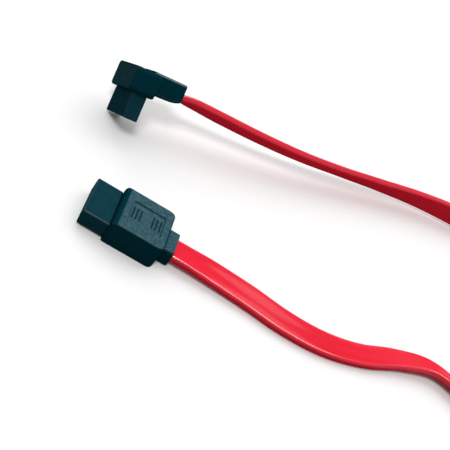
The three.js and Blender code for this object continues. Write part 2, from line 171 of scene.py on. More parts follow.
def loop_points():
    """Points around the circle, each at the height that its roll needs on the table."""
    rolls = LOOP_ROLLS + [-90] * (LOOP_STEPS + 1 - len(LOOP_ROLLS))
    angles = np.radians(np.linspace(LOOP_START, LOOP_END, LOOP_STEPS + 1))
    return [(LOOP_CENTRE[0] + LOOP_RADIUS * math.cos(a), LOOP_CENTRE[1] + LOOP_RADIUS * math.sin(a),
             resting_level(roll), roll) for a, roll in zip(angles, rolls)]


def cable_line_end(x, roll=-180 - ANGLED_ROLL):
    """A point on the line along which the cable leaves the leaning plug. The roll is the one that the plug
    gives the strip, or another one."""
    x, y, z = LEANING[:3, :3] @ (x, 0, ANGLED_CABLE_LEVEL) + LEANING[:3, 3]
    return (x, y, z, roll)


ROUTE = np.array([
    (STRAIGHT_EXIT - JACKET_INSET, 0, STRAIGHT_CABLE_LEVEL, 0),
    (STRAIGHT_EXIT, 0, STRAIGHT_CABLE_LEVEL, 0),
    (STRAIGHT_EXIT + LEAD_OUT, 0, STRAIGHT_CABLE_LEVEL, 1),
    *STRAIGHT_RUN, *loop_points(), *ANGLED_RUN,
    cable_line_end(NECK_REACH + LEAD_OUT, ANGLED_LEAD_OUT_ROLL), cable_line_end(NECK_REACH),
    cable_line_end(NECK_REACH - JACKET_INSET)])
print("route has", len(ROUTE), "points")

# %% Walk the route in even steps
CURVE_SAMPLES, ROUTE_STEP = 60, 1.0


def walk_route(route, step):
    """Centripetal Catmull-Rom: between two points the curve is a cubic, whose slopes at both points come
    from the neighbours and the square roots of the distances between them. The dense curve is then read at
    even lengths. Returns centre points, rolls and lengths along the line."""
    points, rolls = route[:, :3], route[:, 3]
    padded = np.vstack([2 * points[0] - points[1], points, 2 * points[-1] - points[-2]])
    root = np.linalg.norm(np.diff(padded, axis=0), axis=1)[:, None] ** 0.5
    before, here, there, after = padded[:-3], padded[1:-2], padded[2:-1], padded[3:]
    gap0, gap1, gap2 = root[:-2], root[1:-1], root[2:]
    slope1 = ((here - before) / gap0 - (there - before) / (gap0 + gap1) + (there - here) / gap1) * gap1
    slope2 = ((there - here) / gap1 - (after - here) / (gap1 + gap2) + (after - there) / gap2) * gap1
    share = np.linspace(0, 1, CURVE_SAMPLES, endpoint=False)[None, :, None]
    cubic = (here[:, None] + slope1[:, None] * share
             + (3 * (there - here) - 2 * slope1 - slope2)[:, None] * share ** 2
             + (2 * (here - there) + slope1 + slope2)[:, None] * share ** 3)
    dense = np.vstack([cubic.reshape(-1, 3), points[-1]])
    place = np.append((np.arange(len(here))[:, None] + share[0, :, 0]).ravel(), len(here))
    length = np.append(0, np.cumsum(np.linalg.norm(np.diff(dense, axis=0), axis=1)))
    at = np.linspace(0, length[-1], int(length[-1] / step) + 1)
    centre = np.stack([np.interp(at, length, dense[:, i]) for i in range(3)], axis=1)
    roll = np.interp(np.interp(at, length, place), np.arange(len(rolls)), rolls)
    return centre, np.radians(roll), at


centre_line, strip_roll, strip_length = walk_route(ROUTE, ROUTE_STEP)
print("jacket is", round(strip_length[-1], 1), "mm long")

# %% [markdown]
# ## Surfaces from rings
# Every new piece here is a closed ring of points carried along a line: a flat cable, or a moulded grip
# whose ring grows, shrinks and turns back inside itself. Joining ring to ring with four-sided faces needs
# only the array of all ring points. A grip's rings run along its outside and back through its inside, and
# the last ring joins the first, so the moulding is hollow and still closed. A piece can also carry a value
# for each point, such as how glossy it is there, or how grained it is there with painted light and shade
# mixed into that value, which its material reads later.

# %% Mesh from rings
SHARP_ANGLE = math.radians(38)


def mesh_from_rings(name, rings, joined_ends):
    """Point i of ring k meets its neighbours i+1 and k+1. Open ends get one flat face each. Edges that turn
    more than the sharp angle stay crisp, and all the others are shaded smooth."""
    count, around = rings.shape[:2]
    ring_index = np.arange(count if joined_ends else count - 1)[:, None]
    point_index = np.arange(around)[None, :]
    next_ring = (ring_index + 1) % count
    next_point = (point_index + 1) % around
    faces = np.stack([ring_index * around + point_index, ring_index * around + next_point,
                      next_ring * around + next_point, next_ring * around + point_index], axis=-1)
    faces = faces.reshape(-1, 4).tolist()
    if not joined_ends:
        faces += [list(range(around))[::-1], list(range((count - 1) * around, count * around))]
    mesh = bpy.data.meshes.new(name)
    mesh.from_pydata(rings.reshape(-1, 3), [], faces)
    mesh.update()
    mesh.shade_smooth()
    mesh.set_sharp_from_angle(angle=SHARP_ANGLE)
    piece = bpy.data.objects.new(name, mesh)
    bpy.context.scene.collection.objects.link(piece)
    print(name, "has", len(mesh.polygons), "faces")
    return piece


def store_mask(piece, name, amount, domain="POINT"):
    """Keeps a value from 0 to 1 for each point or face, which the piece's material reads by name."""
    layer = piece.data.attributes.new(name, "FLOAT", domain)
    layer.data.foreach_set("value", np.asarray(amount, dtype=np.float32).ravel())


def shrink(distance, radius):
    """How far a quarter circle of this radius has come in at a distance from its end face."""
    reach = np.clip(radius - distance, 0, radius)
    return radius - np.sqrt(radius ** 2 - reach ** 2)


def end_steps(radius, count=7):
    """Distances from an end face, closer together near it, as equal angles of a quarter circle give."""
    return radius * (1 - np.cos(np.linspace(0, math.pi / 2, count)))


def normals_of(elements):
    """The normals of a mesh's points or faces, one row each."""
    normals = np.empty(3 * len(elements), dtype=np.float32)
    elements.foreach_get("normal", normals)
    return normals.reshape(-1, 3)


NEARLY_UPRIGHT, TURNED_UP = 0.1, 0.4


def upward_share(normals):
    """A normal's upward part, rescaled: 0 where a surface is nearly upright, 1 where it is turned up."""
    return np.clip((normals[:, 2] - NEARLY_UPRIGHT) / (TURNED_UP - NEARLY_UPRIGHT), 0, 1)


def store_gloss(piece, amount):
    """Keeps how glossy each point is: its amount times its upward share."""
    store_mask(piece, "gloss", amount * upward_share(normals_of(piece.data.vertices)))


# %% [markdown]
# ## The red jacket
# The jacket is extruded around two pairs of wires, so each wide face has two very shallow swells with a dip
# between them, and the edges are rounded. A curve object with a bevel would give the strip, but not the
# swells and not the roll that the CAD model has. So the section is carried along the route: at each step
# one direction lies across the strip and one through it.

# %% Jacket section and sweep
SWELL = 0.05
FLAT_POINTS, CORNER_POINTS = 12, 7


def jacket_section():
    """Half thickness at y: the full half thickness, less a cosine dip at the middle and the edges, less the
    rounding of the corner. The ring runs along the bottom and back along the top."""
    flat = JACKET_WIDTH / 2 - JACKET_CORNER
    corner = np.sin(np.linspace(0, math.pi / 2, CORNER_POINTS))
    half = np.append(np.linspace(0, flat, FLAT_POINTS), flat + JACKET_CORNER * corner[1:])
    y = np.append(-half[:0:-1], half)
    dip = SWELL * (0.5 + 0.5 * np.cos(4 * math.pi * y / JACKET_WIDTH))
    past = np.clip(np.abs(y) - flat, 0, JACKET_CORNER)
    z = JACKET_THICKNESS / 2 - dip - (JACKET_CORNER - np.sqrt(JACKET_CORNER ** 2 - past ** 2))
    return np.append(y, y[::-1]), np.append(-z, z[::-1])


def sweep_strip(centre, roll):
    """Each ring is centre + y * across + z * through. Across starts level and to the left of the line, and
    turns about the line by the roll. Through is square to both."""
    along = np.gradient(centre, axis=0)
    along /= np.linalg.norm(along, axis=1, keepdims=True)
    left = np.cross([0.0, 0.0, 1.0], along)
    left /= np.linalg.norm(left, axis=1, keepdims=True)
    lift = np.cross(along, left)
    across = left * np.cos(roll)[:, None] + lift * np.sin(roll)[:, None]
    through = np.cross(along, across)
    y, z = jacket_section()
    return centre[:, None] + y[None, :, None] * across[:, None] + z[None, :, None] * through[:, None]


jacket = mesh_from_rings("jacket", sweep_strip(centre_line, strip_roll) * MM, joined_ends=False)


# %% Measure along and around the jacket for its finish
def add_strip_uv(piece, lengths, around):
    """Each corner's u is its length along the strip and v its place around the section, in metres."""
    y, z = jacket_section()
    steps = np.hypot(np.diff(y), np.diff(z))
    girth = np.append(0, np.cumsum(steps))
    corners = np.empty(len(piece.data.loops), dtype=np.int32)
    piece.data.loops.foreach_get("vertex_index", corners)
    uv = np.stack([lengths[corners // around], girth[corners % around]], axis=1) * MM
    layer = piece.data.uv_layers.new(name="strip")
    layer.data.foreach_set("uv", uv.astype(np.float32).ravel())


WIDE_FACE_GLOSS = 0.15


def jacket_gloss():
    """1 on the rounded narrow edges of the strip's section, and a smaller gloss on its wide faces."""
    y, z = jacket_section()
    return np.where(np.abs(y) > JACKET_WIDTH / 2 - JACKET_CORNER - ROUNDING_ERROR, 1.0, WIDE_FACE_GLOSS)


add_strip_uv(jacket, strip_length, len(jacket_section()[0]))
store_gloss(jacket, np.tile(jacket_gloss(), len(centre_line)))
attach(jacket, "root")
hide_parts("cable_straight_run", "cable_loop", "cable_angled_run")

# %% [markdown]
# ## Rings for the moulded grips
# A moulded grip is a block with rounded edges. Its section across is a rounded rectangle. At each end the
# section shrinks along a quarter circle, which rounds the edges of the end face too. The points on top can
# be set close together where the top carries detail.

# %% Rounded rectangle rings
BASE_ROWS, CORNER_STEPS = 7, 6


def rounded_rings(half, low, high, radius, top_rows):
    """Rings as (u, w) pairs. Each ring runs along its low side, round a corner, up, round a corner, back
    along its high side and down. A corner point is the corner's centre plus the radius at an angle."""
    half, low, high, radius = (np.asarray(v, dtype=float)[:, None] for v in (half, low, high, radius))
    inner = half - radius
    base = np.linspace(-1, 1, BASE_ROWS)[None, :]
    angle = np.linspace(0, math.pi / 2, CORNER_STEPS + 1)[None, :]
    first, last = angle[:, :-1], angle[:, 1:]
    top = np.asarray(top_rows)[None, ::-1]
    across = np.hstack([inner * base, inner + radius * np.sin(last), inner + radius * np.cos(first),
                        inner * top, -inner - radius * np.sin(last), -inner - radius * np.cos(first)])
    upward = np.hstack([low + 0 * base, low + radius - radius * np.cos(last),
                        high - radius + radius * np.sin(first), high + 0 * top,
                        high - radius + radius * np.cos(last), low + radius - radius * np.sin(first)])
    return across, upward


def corner_share(rings):
    """1 on the four rounded corners of each ring, and 0 along its flat sides and at the corners' ends."""
    count, around = rings.shape[:2]
    share = np.zeros(around)
    lower_right, upper_left = BASE_ROWS, around - 2 * CORNER_STEPS
    share[lower_right:lower_right + CORNER_STEPS - 1] = 1
    share[lower_right + CORNER_STEPS + 1:lower_right + 2 * CORNER_STEPS] = 1
    share[upper_left:upper_left + CORNER_STEPS - 1] = 1
    share[upper_left + CORNER_STEPS + 1:] = 1
    return np.tile(share, count)


# %% [markdown]
# ## The straight grip
# The straight plug's grip is moulded over the nose's tail and the wires. On top it has a shallow panel with
# two small groups of raised marks, made here as plain bars. The panel could be cut with a boolean, but a
# height that follows a formula gives soft moulded edges for free.

# %% Straight grip stations
GRIP_FRONT_RADIUS, GRIP_REAR_RADIUS, GRIP_EDGE, GRIP_BROW = 0.6, 1.7, 0.35, 1.3
RELIEF_HALF, RELIEF_LOW, RELIEF_HIGH, RELIEF_ROUND = 4.4, 0.3, 5.0, 0.8
TAIL_SEAT_HALF, TAIL_SEAT_LOW, TAIL_SEAT_HIGH = 6.35, 1.1, 4.8
SEAT_DEPTH = 2.75
WIRE_SPACE_HALF, WIRE_SPACE_LOW, WIRE_SPACE_HIGH = 4.5, 1.6, 3.7
REAR_WALL = 1.2
MOUTH_HALF, MOUTH_HALF_HEIGHT, MOUTH_ROUND = 3.95, 1.2, 0.65
INNER_ROUND = 0.05
COARSE_STATIONS, FINE_STATIONS = (-5.7, -4.6, 0.3), (-4.5, 5.4, 0.1)
RELIEF_FIRST, RELIEF_SECOND, RELIEF_LAST = 0.15, 0.5, 0.3


def straight_grip_stations():
    """Rows of x, half width, low, high and corner radius, along the outside and back through the inside."""
    front, rear = -GRIP_LENGTH / 2, GRIP_LENGTH / 2
    ahead = front + np.unique(np.concatenate([
        end_steps(GRIP_EDGE, 5), end_steps(GRIP_FRONT_RADIUS, 5), end_steps(GRIP_BROW, 10)]))
    behind = rear - end_steps(GRIP_REAR_RADIUS, 10)[::-1]
    x = np.concatenate([ahead, np.arange(*COARSE_STATIONS), np.arange(*FINE_STATIONS), behind])
    plan = np.where(x < 0, shrink(x - front, GRIP_FRONT_RADIUS), shrink(rear - x, GRIP_REAR_RADIUS))
    edge = np.where(x < 0, shrink(x - front, GRIP_EDGE), shrink(rear - x, GRIP_EDGE))
    brow = np.where(x < 0, shrink(x - front, GRIP_BROW), edge)
    block = np.stack([x, GRIP_WIDTH / 2 - plan, edge, GRIP_THICKNESS - brow, np.full_like(x, GRIP_EDGE)],
                     axis=1)
    reach = STRAIGHT_EXIT - end_steps(GRIP_EDGE, 5)[::-1]
    reach = np.concatenate([[rear, rear + RELIEF_FIRST],
                            np.linspace(rear + RELIEF_SECOND, reach[0] - RELIEF_LAST, 6), reach])
    edge = shrink(STRAIGHT_EXIT - reach, GRIP_EDGE)
    relief = np.stack([reach, RELIEF_HALF - edge, RELIEF_LOW + edge, RELIEF_HIGH - edge,
                       np.full_like(reach, RELIEF_ROUND) - edge / 2], axis=1)
    low, high = STRAIGHT_CABLE_LEVEL - MOUTH_HALF_HEIGHT, STRAIGHT_CABLE_LEVEL + MOUTH_HALF_HEIGHT
    inside = np.array([
        (STRAIGHT_EXIT, MOUTH_HALF, low, high, MOUTH_ROUND),
        (rear - REAR_WALL, MOUTH_HALF, low, high, MOUTH_ROUND),
        (rear - REAR_WALL, WIRE_SPACE_HALF, WIRE_SPACE_LOW, WIRE_SPACE_HIGH, INNER_ROUND),
        (front + SEAT_DEPTH, WIRE_SPACE_HALF, WIRE_SPACE_LOW, WIRE_SPACE_HIGH, INNER_ROUND),
        (front + SEAT_DEPTH, TAIL_SEAT_HALF, TAIL_SEAT_LOW, TAIL_SEAT_HIGH, INNER_ROUND),
        (front, TAIL_SEAT_HALF, TAIL_SEAT_LOW, TAIL_SEAT_HIGH, INNER_ROUND)])
    return np.vstack([block, relief, inside])


# %% Panel and marks as a height over the top
PANEL_CENTRE, PANEL_HALF, PANEL_ROUND, PANEL_DEPTH = (0.5, 0.0), (4.7, 4.1), 0.5, 0.35
MARK_HALF, MARK_HEIGHT, MARK_PITCH, MARK_SPREAD = (0.25, 2.2), 0.3, 1.05, 5.6
PANEL_SLOPE, MARK_SLOPE, MARK_ROUND = 0.2, 0.15, 0.1


def soft_step(value, width):
    """0 outside, 1 inside, with a smooth slope of this width just inside the edge."""
    t = np.clip(-value / width, 0, 1)
    return t * t * (3 - 2 * t)


def distance_to_rectangle(x, y, centre, half, corner):
    """Signed distance to a rounded rectangle: below 0 inside it."""
    dx = np.abs(x - centre[0]) - half[0] + corner
    dy = np.abs(y - centre[1]) - half[1] + corner
    return np.hypot(np.maximum(dx, 0), np.maximum(dy, 0)) + np.minimum(np.maximum(dx, dy), 0) - corner


def mark_mask(x, y):
    """1 on each of the six bars, falling to 0 down its sides."""
    mask = np.zeros_like(x)
    for side in (-1, 1):
        for step in (-1, 0, 1):
            centre = (PANEL_CENTRE[0] + side * MARK_SPREAD / 2 + step * MARK_PITCH, 0.0)
            mask += soft_step(distance_to_rectangle(x, y, centre, MARK_HALF, MARK_ROUND), MARK_SLOPE)
    return mask


def panel_mask(x, y):
    """1 on the panel's floor, falling to 0 up its sides."""
    return soft_step(distance_to_rectangle(x, y, PANEL_CENTRE, PANEL_HALF, PANEL_ROUND), PANEL_SLOPE)


def panel_height(x, y):
    """Minus the panel's depth inside its rounded rectangle, plus the height of each bar in it."""
    return MARK_HEIGHT * mark_mask(x, y) - PANEL_DEPTH * panel_mask(x, y)


# %% Straight grip mesh
FINE_HALF, ROW_STEP, SIDE_ROWS = 4.4, 0.1, 8


def straight_grip_rings():
    """Rounded rectangles along X. Points on top, inside the panel, move by the panel's height."""
    stations = straight_grip_stations()
    span = GRIP_WIDTH / 2 - GRIP_EDGE
    rows = np.concatenate([np.linspace(-span, -FINE_HALF, SIDE_ROWS),
                           np.arange(ROW_STEP - FINE_HALF, FINE_HALF - ROW_STEP / 2, ROW_STEP),
                           np.linspace(FINE_HALF, span, SIDE_ROWS)])
    y, z = rounded_rings(*stations[:, 1:].T, rows / span)
    x = np.repeat(stations[:, :1], y.shape[1], axis=1)
    on_top = (z > GRIP_THICKNESS - ROUNDING_ERROR) & (np.abs(x) < GRIP_LENGTH / 2)
    z = z + np.where(on_top, panel_height(x, y), 0)
    return np.stack([x, y, z], axis=-1)


# On the straight grip the mask of grained and smooth plastic is also painted light and shade: the top is
# painted paler, and the sides, the brow, the panel's walls and the corner at the relief are painted shade.
BROW_FADE = 0.3
JOIN_SHIFT, JOIN_REACH, JOIN_FADE = 0.1, 0.7, 0.5
PANEL_WALL_PAINTED_SHADE, EDGE_GLOSS = 0.8, 0.24


def grain_and_painted_light_share(rings):
    """1 on the wide flat top and underside behind the rounded brow. 0 on the sides, on the marks, up the
    panel's walls and in the corner where the relief meets the grip. The section's flat rows are its first
    ones, and the long run between its two upper corners. The mask is partly the mould's graining and partly
    painted light and shade: the top is painted paler, as if lit from above, and the sides, the brow, the
    panel's walls and the relief corner are painted darker, as shade."""
    around = rings.shape[1]
    on_flat = np.zeros(around)
    on_flat[:BASE_ROWS] = 1
    on_flat[BASE_ROWS + 2 * CORNER_STEPS:around - 2 * CORNER_STEPS] = 1
    x, y = rings[..., 0], rings[..., 1]
    behind_brow = soft_step(-(x + GRIP_LENGTH / 2 - GRIP_BROW), BROW_FADE)
    painted_corner_shade = soft_step(np.abs(x - GRIP_LENGTH / 2 - JOIN_SHIFT) - JOIN_REACH, JOIN_FADE)
    floor_share = panel_mask(x, y)
    wall = 4 * floor_share * (1 - floor_share)
    grained = on_flat[None, :] * behind_brow * (1 - painted_corner_shade)
    return grained * (1 - PANEL_WALL_PAINTED_SHADE * wall) * (1 - mark_mask(x, y))


grip_rings = straight_grip_rings()
straight_grip = mesh_from_rings("straight_grip", placed(grip_rings), joined_ends=True)
# This mask is partly the mould's graining and partly painted light and shade.
store_mask(straight_grip, "grain_and_painted_light", grain_and_painted_light_share(grip_rings))
store_gloss(straight_grip, EDGE_GLOSS * corner_share(grip_rings))
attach(straight_grip, "root")
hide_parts("straight_overmould")

# %% [markdown]
# ## The right-angle grip
# Here the nose goes in from below and the cable leaves from the side, so the grip is a block on the nose
# and a lower neck for the cable. One loft can't turn that corner cleanly. The block is lofted upward from
# the nose, and the neck along the cable, and the neck starts inside the block, as the moulding's rib does.

# %% Right-angle block
BLOCK_OVERHANG, BLOCK_HEIGHT, BLOCK_ROUND, BLOCK_EDGE = 1.6, 7.0, 1.2, 0.4
BLOCK_MIDDLE = NOSE_THICKNESS / 2
BLOCK_HALF_DEPTH = NOSE_THICKNESS / 2 + BLOCK_OVERHANG
SEAT_HALF_DEPTH, SEAT_TOP = 1.85, 4.7


def angled_block_rings():
    """Rings in the level plane, carried upward. Across the plug they shrink along the large corner circle,
    and through it along the small one. The first ring closes the seat, and the last one the top."""
    rise = np.unique(np.concatenate([end_steps(BLOCK_ROUND, 9), end_steps(BLOCK_EDGE, 5),
                                     np.linspace(BLOCK_ROUND, BLOCK_HEIGHT / 2, 5)]))
    z = np.append(rise, BLOCK_HEIGHT - rise[-2::-1])
    from_end = np.minimum(z, BLOCK_HEIGHT - z)
    half_width = GRIP_WIDTH / 2 - shrink(from_end, BLOCK_ROUND)
    half_depth = BLOCK_HALF_DEPTH - shrink(from_end, BLOCK_EDGE)
    seat_z = np.array([SEAT_TOP, 0.0])
    z = np.append(seat_z, z)
    half_width = np.append([TAIL_SEAT_HALF] * 2, half_width)
    half_depth = np.append([SEAT_HALF_DEPTH] * 2, half_depth)
    radius = np.append([INNER_ROUND] * 2, np.full(len(z) - 2, BLOCK_EDGE))
    x, y = rounded_rings(half_depth, -half_width, half_width, radius, np.linspace(-1, 1, 7))
    return np.stack([x + BLOCK_MIDDLE, y, np.repeat(z[:, None], x.shape[1], axis=1)], axis=-1)


# The block's two flat end faces are painted paler, as if lit from the side: painted light through the same
# mask as the graining.
END_FACE_PAINTED_LIGHT, BLOCK_GLOSS = 0.35, 0.1


def end_face_share(rings):
    """1 on the flat end of the block and on the one opposite, 0 on its other faces."""
    return np.abs(rings[..., 0] - BLOCK_MIDDLE) > BLOCK_HALF_DEPTH - ROUNDING_ERROR


block_rings = angled_block_rings()
angled_block = mesh_from_rings("angled_grip_block", placed(block_rings, LEANING), joined_ends=False)
# Painted light on the block's end faces.
store_mask(angled_block, "grain_and_painted_light", END_FACE_PAINTED_LIGHT * end_face_share(block_rings))
store_gloss(angled_block, BLOCK_GLOSS * corner_share(block_rings))
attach(angled_block, "root")
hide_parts("angled_overmould")

# %% Right-angle neck
NECK_HALF, NECK_TOP, NECK_UNDERSIDE, NECK_RISE = 4.8, 7.6, 1.5, 0.9
NECK_CURVE, NECK_ROUND, NECK_END_EDGE, NECK_OVERLAP = 3.6, 0.8, 0.3, 1.0


def angled_neck_rings():
    """Rounded rectangles along the cable. The underside rises in a quarter ellipse towards the cable's
    mouth, and the rings come back inside as a tunnel for the jacket."""
    start = BLOCK_MIDDLE + BLOCK_HALF_DEPTH - NECK_OVERLAP
    ends = NECK_REACH - end_steps(NECK_END_EDGE, 5)[::-1]
    x = np.concatenate([np.linspace(start, NECK_REACH - NECK_CURVE, 10),
                        np.linspace(NECK_REACH - NECK_CURVE, ends[0], 12)[1:-1], ends])
    into = np.clip((x - NECK_REACH + NECK_CURVE) / NECK_CURVE, 0, 1)
    low = NECK_UNDERSIDE + NECK_RISE * into ** 2
    edge = shrink(NECK_REACH - x, NECK_END_EDGE)
    outside = np.stack([x, NECK_HALF - edge, low + edge, NECK_TOP - edge, NECK_ROUND - edge / 2], axis=1)
    inside = np.array([
        (NECK_REACH, MOUTH_HALF, ANGLED_CABLE_LEVEL - MOUTH_HALF_HEIGHT,
         ANGLED_CABLE_LEVEL + MOUTH_HALF_HEIGHT, MOUTH_ROUND),
        (start, MOUTH_HALF, ANGLED_CABLE_LEVEL - MOUTH_HALF_HEIGHT,
         ANGLED_CABLE_LEVEL + MOUTH_HALF_HEIGHT, MOUTH_ROUND)])
    stations = np.vstack([outside, inside])
    y, z = rounded_rings(*stations[:, 1:].T, np.linspace(-1, 1, 9))
    return np.stack([np.repeat(stations[:, :1], y.shape[1], axis=1), y, z], axis=-1)


neck_rings = angled_neck_rings()
angled_neck = mesh_from_rings("angled_grip_neck", placed(neck_rings, LEANING), joined_ends=True)
store_gloss(angled_neck, corner_share(neck_rings))
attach(angled_neck, "root")
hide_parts("angled_overmould")

# %% [markdown]
# ## The noses
# Each nose is a smooth moulding with rounded edges, and the CAD model already has its slot, its channels
# and its roundings. It could be built again from rings, but all that it lacks is a mark of where the
# roundings are, because the polish shows there as a thin bright line. So a copy of the CAD mesh is merged
# into one skin, and each face that slants between two of the plug's directions is marked.

# %% Copies of the noses with their roundings marked
SLANT = 0.15
MERGE_DISTANCE = 0.001


def rounding_share(normals, matrix):
    """1 on roundings and chamfers, 0 on flat faces. In the plug's own directions a flat face's normal has
    one part only, so its second largest part is 0."""
    own = np.sort(np.abs(normals @ matrix[:3, :3]), axis=1)
    return (own[:, 1] > SLANT).astype(float)


def marked_nose(node_name, name, matrix, polish):
    """A merged copy of the CAD nose. Its normals lean towards the larger faces, so these stay flat."""
    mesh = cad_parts[node_name].data.copy()
    mesh.name = name
    skin = bmesh.new()
    skin.from_mesh(mesh)
    bmesh.ops.remove_doubles(skin, verts=skin.verts, dist=MERGE_DISTANCE * MM)
    skin.to_mesh(mesh)
    skin.free()
    mesh.attributes.remove(mesh.attributes["custom_normal"])
    mesh.shade_smooth()
    mesh.set_sharp_from_angle(angle=SHARP_ANGLE)
    piece = bpy.data.objects.new(name, mesh)
    bpy.context.scene.collection.objects.link(piece)
    normals = normals_of(mesh.polygons)
    store_mask(piece, "gloss", polish * rounding_share(normals, matrix) * upward_share(normals), "FACE")
    lean = piece.modifiers.new("large_faces_stay_flat", "WEIGHTED_NORMAL")
    lean.keep_sharp = True
    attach(piece, "root")
    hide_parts(node_name)
    print(name, "has", len(mesh.polygons), "faces")
    return piece


straight_nose = marked_nose("straight_housing", "straight_nose", np.identity(4), polish=1.0)
angled_nose = marked_nose("angled_housing", "angled_nose", LEANING, polish=0.3)

# %% [markdown]
# ## Finishes
# All the plastics are dyed through. What tells them apart is the mould's finish: the grips were moulded
# against a sparked, mottled steel, and the noses against a polished one. One node group makes that mottle
# as one mask, and each material reads it for its colour, for its gloss and as the height of a bump. It
# works in metres, so the mottle keeps its real size. On the grips, the paler grained colour and the
# near-black smooth one are also painted light and shade. A lamp shows as a thin line on roundings that
# point up, and there a material gets a glossy coat from the mask that the piece carries.

# %% Shared mottle group
def make_mottle_group():
    """Two sizes of noise mixed into one mask from 0 to 1."""
    group = bpy.data.node_groups.new("mottle", "ShaderNodeTree")
    group.interface.new_socket("Vector", in_out="INPUT", socket_type="NodeSocketVector")
    for name, value in (("Coarse Scale", 900.0), ("Fine Scale", 3500.0), ("Fine Share", 0.5)):
        socket = group.interface.new_socket(name, in_out="INPUT", socket_type="NodeSocketFloat")
        socket.default_value = value
    group.interface.new_socket("Mask", in_out="OUTPUT", socket_type="NodeSocketFloat")
    nodes, links = group.nodes, group.links
    given, made = nodes.new("NodeGroupInput"), nodes.new("NodeGroupOutput")
    coarse, fine = nodes.new("ShaderNodeTexNoise"), nodes.new("ShaderNodeTexNoise")
    mix = nodes.new("ShaderNodeMix")
    for noise, scale in ((coarse, "Coarse Scale"), (fine, "Fine Scale")):
        noise.inputs["Detail"].default_value = 2.0
        links.new(given.outputs["Vector"], noise.inputs["Vector"])
        links.new(given.outputs[scale], noise.inputs["Scale"])
    links.new(given.outputs["Fine Share"], mix.inputs["Factor"])
    links.new(coarse.outputs["Fac"], mix.inputs["A"])
    links.new(fine.outputs["Fac"], mix.inputs["B"])
    links.new(mix.outputs["Result"], made.inputs["Mask"])
    return group


MOTTLE = make_mottle_group()


# %% Material helpers
def new_material(name, roughness, metallic=0.0, specular=0.5):
    """A material whose Principled shader gets the numbers that are the same all over the surface."""
    material = bpy.data.materials.new(name)
    material.use_nodes = True
    shader = material.node_tree.nodes["Principled BSDF"]
    shader.inputs["Roughness"].default_value = roughness
    shader.inputs["Metallic"].default_value = metallic
    shader.inputs["Specular IOR Level"].default_value = specular
    return material, shader


def object_place(material):
    """Object coordinates, in metres."""
    return material.node_tree.nodes.new("ShaderNodeTexCoord").outputs["Object"]


def add_mottle(material, place, coarse, fine, fine_share=0.5):
    """Puts the mottle group in a material, reads it at these coordinates and gives back its mask."""
    mottle = material.node_tree.nodes.new("ShaderNodeGroup")
    mottle.node_tree = MOTTLE
    mottle.inputs["Coarse Scale"].default_value = coarse
    mottle.inputs["Fine Scale"].default_value = fine
    mottle.inputs["Fine Share"].default_value = fine_share
    material.node_tree.links.new(place, mottle.inputs["Vector"])
    return mottle.outputs["Mask"]


def read_mask(material, name):
    """The value that a piece carries under this name. Where it carries none, it is 0."""
    attribute = material.node_tree.nodes.new("ShaderNodeAttribute")
    attribute.attribute_name = name
    return attribute.outputs["Fac"]


def multiply(material, mask, factor):
    """A mask times a number, or times another mask."""
    product = material.node_tree.nodes.new("ShaderNodeMath")
    product.operation = "MULTIPLY"
    material.node_tree.links.new(mask, product.inputs[0])
    if isinstance(factor, float):
        product.inputs[1].default_value = factor
    else:
        material.node_tree.links.new(factor, product.inputs[1])
    return product.outputs["Value"]


def add_ramp(material, value, stops):
    """A colour ramp over a mask. Each stop is a place and a colour or a grey."""
    ramp = material.node_tree.nodes.new("ShaderNodeValToRGB")
    elements = ramp.color_ramp.elements
    while len(elements) < len(stops):
        elements.new(0.5)
    for element, (place, colour) in zip(elements, stops):
        element.position = place
        element.color = (*colour, 1.0) if isinstance(colour, tuple) else (colour, colour, colour, 1.0)
    material.node_tree.links.new(value, ramp.inputs["Fac"])
    return ramp.outputs["Color"]


def add_bump(material, shader, height, strength, distance):
    """Tilts the shading by a height, whose full range is the distance in metres."""
    bump = material.node_tree.nodes.new("ShaderNodeBump")
    bump.inputs["Strength"].default_value = strength
    bump.inputs["Distance"].default_value = distance
    material.node_tree.links.new(height, bump.inputs["Height"])
    material.node_tree.links.new(bump.outputs["Normal"], shader.inputs["Normal"])


def add_gloss(material, shader, amount, roughness):
    """A thin glossy coat, as strong as the piece's own gloss mask times an amount."""
    weight = multiply(material, read_mask(material, "gloss"), amount)
    material.node_tree.links.new(weight, shader.inputs["Coat Weight"])
    shader.inputs["Coat Roughness"].default_value = roughness


# %% Grip plastic
# Paler grained tones, also used as painted light on tops and end faces. Near-black smooth tones, also used as
# painted shade on the sides, the brow, the panel's walls and the relief corner.
GRAINED_AND_LIT_TONES = [(0.36, (0.024, 0.074, 0.095)), (0.50, (0.042, 0.106, 0.132)), (0.64, (0.070, 0.142, 0.172))]
SMOOTH_AND_SHADED_TONES = [(0.3, (0.0008, 0.030, 0.041)), (0.7, (0.0018, 0.040, 0.054))]
GRIP_ROUGHNESS = [(0.3, 0.66), (0.7, 0.5)]


